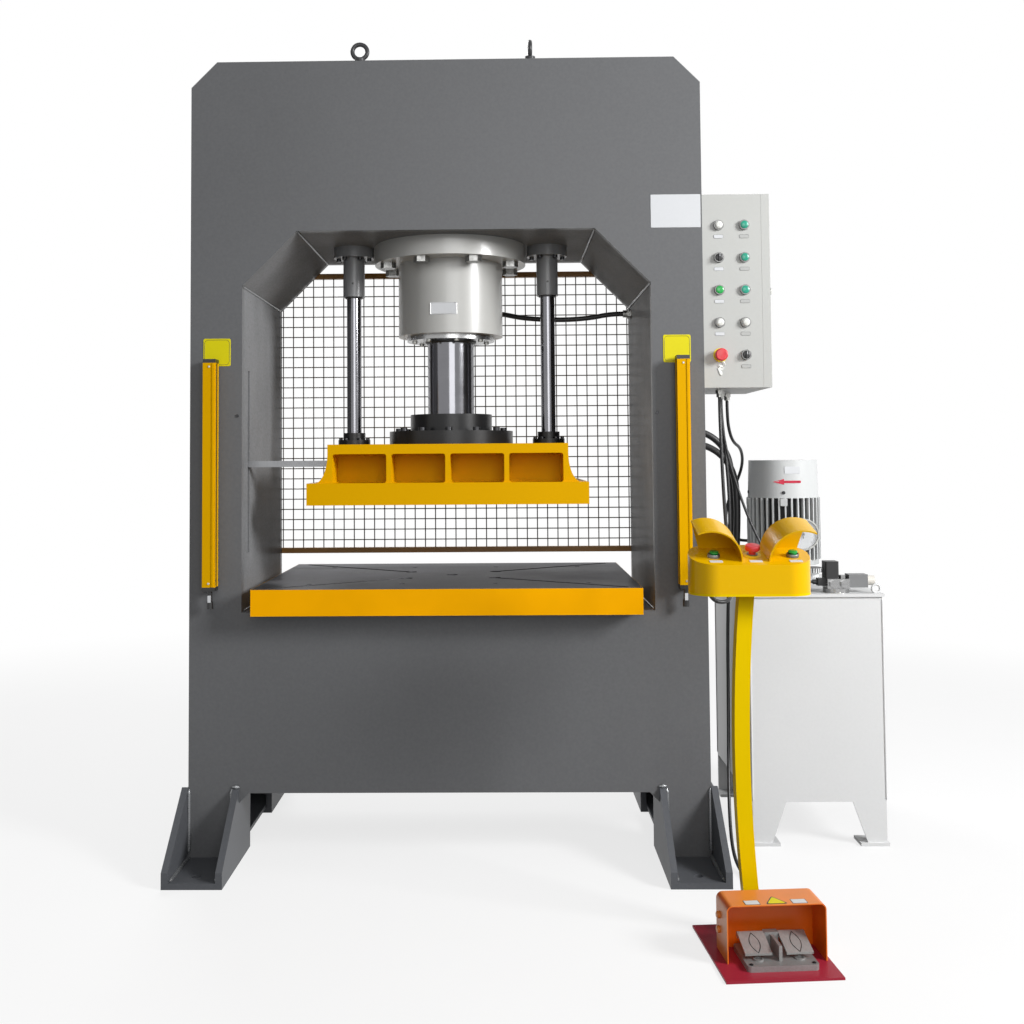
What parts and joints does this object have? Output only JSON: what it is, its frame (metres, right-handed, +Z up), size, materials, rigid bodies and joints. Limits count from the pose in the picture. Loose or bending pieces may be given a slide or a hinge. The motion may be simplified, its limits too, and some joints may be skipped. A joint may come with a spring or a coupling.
{
  "type": "hydraulic press",
  "caption": "Portal hydraulic press with guided ribbed platen, slotted table, light curtains, rear mesh guard, control box, power unit, two-hand station and foot pedal.",
  "frame": {"origin": "on the floor, at the centre of the four anchor holes in the feet, below the press axis", "axes": "+Z up along the ram, operator at -Y, power unit and control box at +X"},
  "size_m": [2.247, 1.6969, 2.598],
  "materials": {
    "frame_paint": "satin dark grey paint",
    "fasteners": "black oxide",
    "bush_steel": "satin grey paint",
    "bar_steel": "bright drawn bar",
    "bezel_metal": "satin plated",
    "cylinder_paint": "satin light grey paint",
    "ground_steel": "ground",
    "chrome_rod": "polished hard chrome",
    "yellow_paint": "satin yellow paint",
    "black_steel": "satin black",
    "guard_paint": "satin ochre paint",
    "mesh_wire": "dark coated wire",
    "black_plastic": "matte black",
    "panel_paint": "fine-grained light grey paint",
    "gear_plastic": "matte grey",
    "clear_lamp": "lens plastic",
    "green_plastic": "gloss green",
    "red_plastic": "gloss red",
    "red_paint": "satin red paint",
    "orange_paint": "satin orange paint",
    "cast_aluminium": "cast, brushed",
    "zinc_fittings": "zinc plated",
    "rubber_cord": "matte black"
  },
  "bodies": {
    "frame": {"box_shell": "panel_paint", "control_bezels": "bezel_metal", "curtain_fittings": "black_plastic", "cylinder_barrel": "cylinder_paint", "cylinder_hose": "rubber_cord", "fan_cowl": "panel_paint", "feet": "frame_paint", "frame_bolts": "fasteners", "front_plate": "frame_paint", "gauge_case": "ground_steel", "gland_ring": "ground_steel", "guard_frame": "guard_paint", "guard_mesh": "mesh_wire", "guide_bushes": "bush_steel", "hose_glands": "zinc_fittings", "light_curtains": "yellow_paint", "motor_cable": "rubber_cord", "motor_housing": "panel_paint", "opening_liner": "frame_paint", "outer_band": "frame_paint", "pedal_base": "cast_aluminium", "pedal_cable": "rubber_cord", "pedal_guard": "orange_paint", "pedestal_base": "red_paint", "pedestal_pole": "yellow_paint", "pilot_lamps": "clear_lamp", "pressure_hose": "rubber_cord", "rear_plate": "frame_paint", "return_hose": "rubber_cord", "solenoid_valve": "black_plastic", "station_cable": "rubber_cord", "switchgear": "gear_plastic", "table": "ground_steel", "tank": "panel_paint", "tank_lid": "panel_paint", "two_hand_case": "yellow_paint", "valve_block": "ground_steel", "valve_cable": "rubber_cord"},
    "ram": {"piston_rod": "chrome_rod", "platen_flanges": "black_steel", "platen": "yellow_paint", "platen_bolts": "fasteners", "guide_rods": "chrome_rod", "limit_arm": "bar_steel"},
    "motor_fan": {"motor_fan": "black_plastic"},
    "gauge_needle": {"gauge_needle": "black_plastic"},
    "green_button_1": {"green_button_1": "green_plastic"},
    "green_button_2": {"green_button_2": "green_plastic"},
    "green_button_3": {"green_button_3": "green_plastic"},
    "green_button_4": {"green_button_4": "green_plastic"},
    "selector_1": {"selector_1": "black_plastic"},
    "selector_2": {"selector_2": "black_plastic"},
    "panel_estop": {"panel_estop": "red_plastic"},
    "two_hand_button_left": {"two_hand_button_left": "green_plastic"},
    "two_hand_button_right": {"two_hand_button_right": "green_plastic"},
    "two_hand_estop": {"two_hand_estop": "red_plastic"},
    "pedal_left": {"pedal_left": "cast_aluminium"},
    "pedal_right": {"pedal_right": "cast_aluminium"},
    "box_door": {"box_door": "panel_paint"},
    "door_lock": {"door_lock": "zinc_fittings"}
  },
  "joints": [
    {"name": "ram_slide", "type": "slide", "parent": "frame", "child": "ram", "axis": [0, 0, 1], "range_m": [-0.245, 0.235]},
    {"name": "green_button_1_press", "type": "slide", "parent": "frame", "child": "green_button_1", "axis": [0, 1, 0], "range_m": [0, 0.004], "stiffness_N_per_m": 600, "springref_m": -0.002},
    {"name": "green_button_2_press", "type": "slide", "parent": "frame", "child": "green_button_2", "axis": [0, 1, 0], "range_m": [0, 0.004], "stiffness_N_per_m": 600, "springref_m": -0.002},
    {"name": "green_button_3_press", "type": "slide", "parent": "frame", "child": "green_button_3", "axis": [0, 1, 0], "range_m": [0, 0.004], "stiffness_N_per_m": 600, "springref_m": -0.002},
    {"name": "green_button_4_press", "type": "slide", "parent": "frame", "child": "green_button_4", "axis": [0, 1, 0], "range_m": [0, 0.004], "stiffness_N_per_m": 600, "springref_m": -0.002},
    {"name": "panel_estop_press", "type": "slide", "parent": "frame", "child": "panel_estop", "axis": [0, 1, 0], "range_m": [0, 0.006], "stiffness_N_per_m": 1200, "springref_m": -0.002},
    {"name": "selector_1_turn", "type": "hinge", "parent": "frame", "child": "selector_1", "pos_m": [0.866, -0.33, 1.8847], "axis": [0, 1, 0], "range_deg": [-45, 45]},
    {"name": "selector_2_turn", "type": "hinge", "parent": "frame", "child": "selector_2", "pos_m": [0.947, -0.33, 1.5748], "axis": [0, 1, 0], "range_deg": [-45, 45]},
    {"name": "two_hand_left_press", "type": "slide", "parent": "frame", "child": "two_hand_button_left", "axis": [0, 0.2588, -0.9659], "range_m": [0, 0.005], "stiffness_N_per_m": 600, "springref_m": -0.002},
    {"name": "two_hand_right_press", "type": "slide", "parent": "frame", "child": "two_hand_button_right", "axis": [0, 0.2588, -0.9659], "range_m": [0, 0.005], "stiffness_N_per_m": 600, "springref_m": -0.002},
    {"name": "two_hand_estop_press", "type": "slide", "parent": "frame", "child": "two_hand_estop", "axis": [0, 0.2588, -0.9659], "range_m": [0, 0.006], "stiffness_N_per_m": 1200, "springref_m": -0.002},
    {"name": "pedal_left_press", "type": "hinge", "parent": "frame", "child": "pedal_left", "pos_m": [0.78961, -0.98826, 0.052], "axis": [0.9969, 0.0785, 0], "range_deg": [0, 5], "stiffness_Nm_per_rad": 3, "springref_deg": -17.19},
    {"name": "pedal_right_press", "type": "hinge", "parent": "frame", "child": "pedal_right", "pos_m": [0.89329, -0.9801, 0.052], "axis": [0.9969, 0.0785, 0], "range_deg": [0, 5], "stiffness_Nm_per_rad": 3, "springref_deg": -17.19},
    {"name": "box_door_swing", "type": "hinge", "parent": "frame", "child": "box_door", "pos_m": [1.001, 0.079, 1.7795], "axis": [0, 0, 1], "range_deg": [0, 110]},
    {"name": "door_lock_turn", "type": "hinge", "parent": "box_door", "child": "door_lock", "pos_m": [1.0275, -0.3, 1.7795], "axis": [1, 0, 0], "range_deg": [0, 90]},
    {"name": "motor_fan_spin", "type": "hinge", "parent": "frame", "child": "motor_fan", "pos_m": [1.162, 0.112, 1.15], "axis": [0, 0, 1], "continuous": true},
    {"name": "gauge_needle_turn", "type": "hinge", "parent": "frame", "child": "gauge_needle", "pos_m": [1.187, -0.04, 0.99], "axis": [0, 1, 0], "range_deg": [-135, 135], "stiffness_Nm_per_rad": 0.02}
  ]
}
